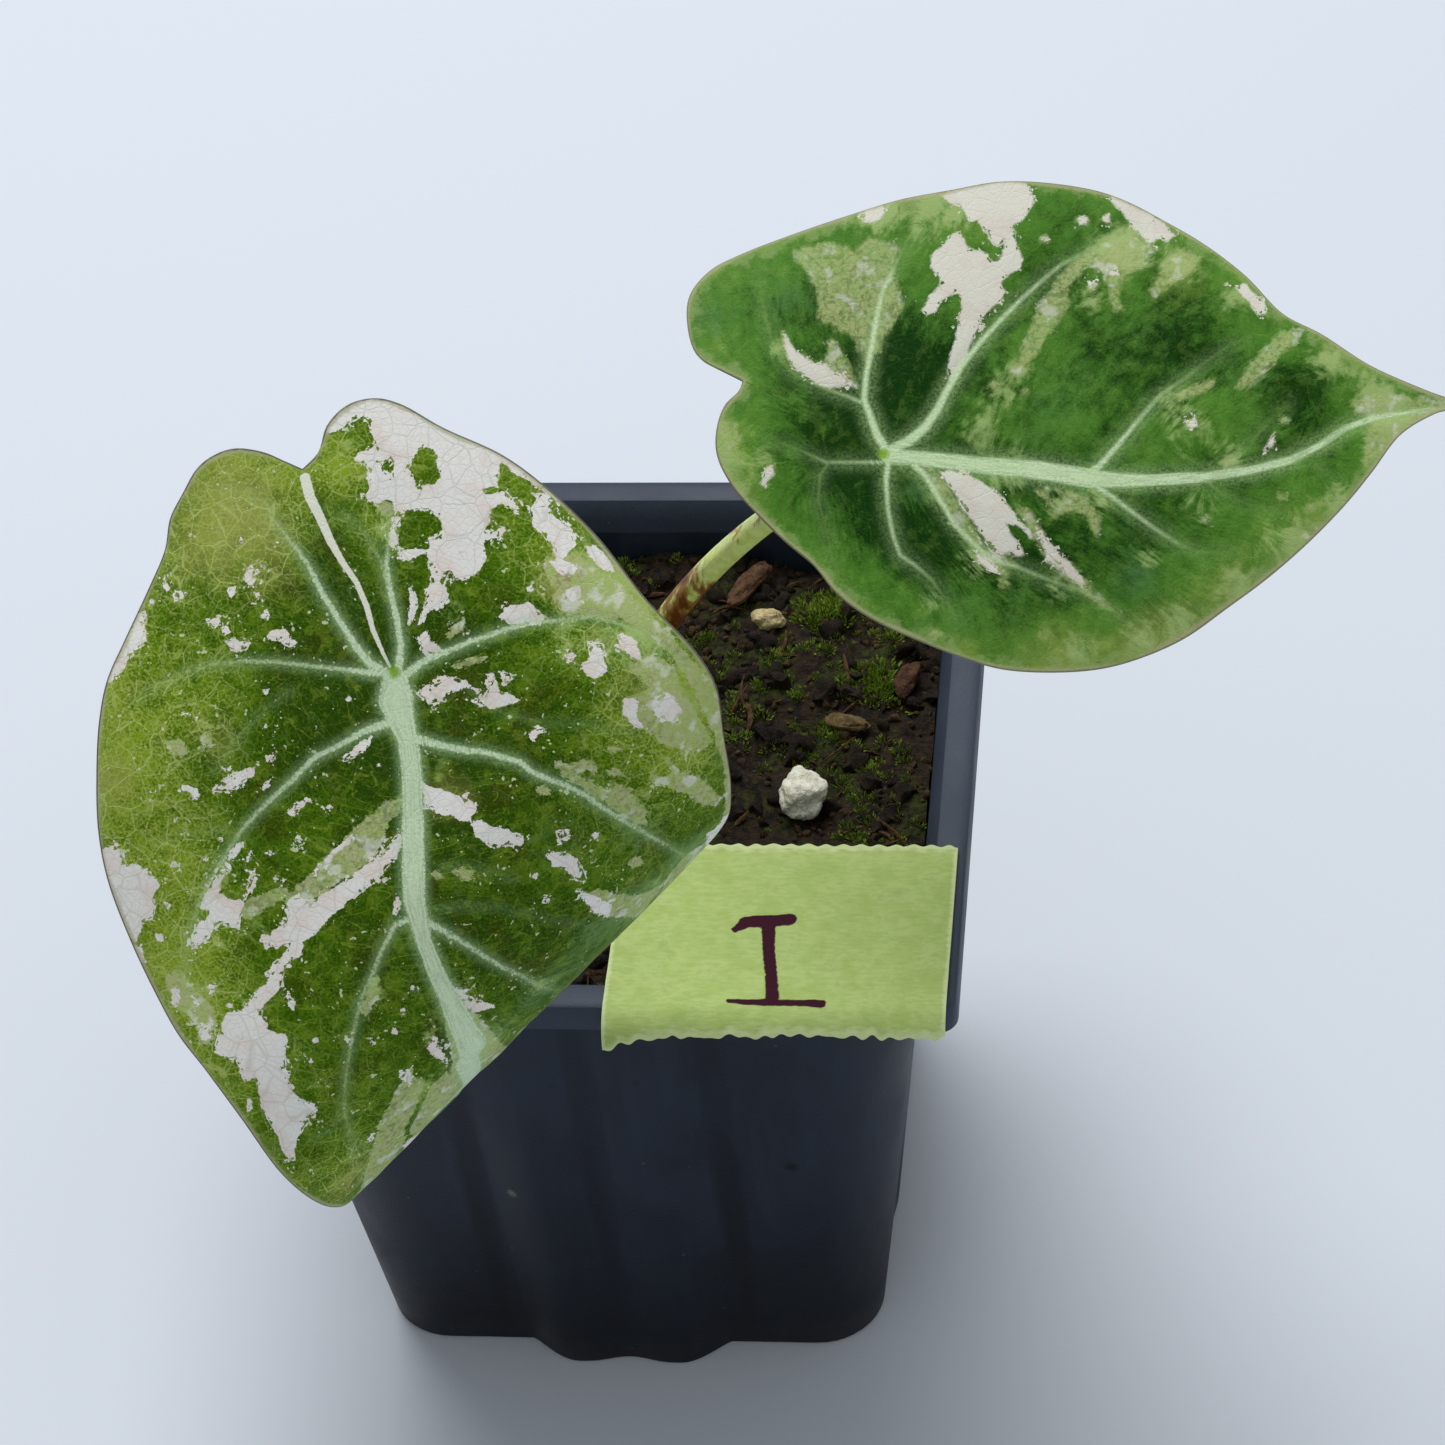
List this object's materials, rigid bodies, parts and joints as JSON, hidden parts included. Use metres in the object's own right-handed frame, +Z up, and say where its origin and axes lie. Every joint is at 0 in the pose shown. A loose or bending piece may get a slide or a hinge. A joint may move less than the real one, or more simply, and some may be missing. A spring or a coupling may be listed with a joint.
{
  "type": "potted variegated alocasia",
  "caption": "Young alocasia with velvety heart-shaped leaves marbled in cream and pale green, on slender stalks in a ribbed square nursery pot.",
  "frame": {"origin": "middle of the flat underside of the pot", "axes": "+Z up, -Y the side of the pot that faces the viewer, where the larger leaf hangs, +X to the viewer's right, towards the other leaf's tip"},
  "size_m": [0.1481, 0.1338, 0.1609],
  "materials": {
    "nursery_pot": "satin blue-black plastic",
    "potting_mix": "damp, dark and crumbly",
    "corm_with_roots": "rough and fibrous",
    "stalk": "smooth and slightly waxy",
    "left_leaf": "velvety, marbled in cream and pale green",
    "right_leaf": "velvety, marbled in cream and pale green",
    "tape_label": "matt crepe paper",
    "pumice_stone": "rough and porous",
    "tan_stone": "rough",
    "bark": "rough",
    "brown_chip": "rough"
  },
  "bodies": {
    "root": {"nursery_pot": "nursery_pot", "potting_mix": "potting_mix", "corm_with_roots": "corm_with_roots", "left_stalk": "stalk", "right_stalk": "stalk", "left_leaf": "left_leaf", "right_leaf": "right_leaf", "tape_label": "tape_label", "pumice_stone": "pumice_stone", "tan_stone": "tan_stone", "bark_chip_long": "bark", "bark_chip_small": "bark", "brown_chip": "brown_chip"}
  },
  "joints": []
}
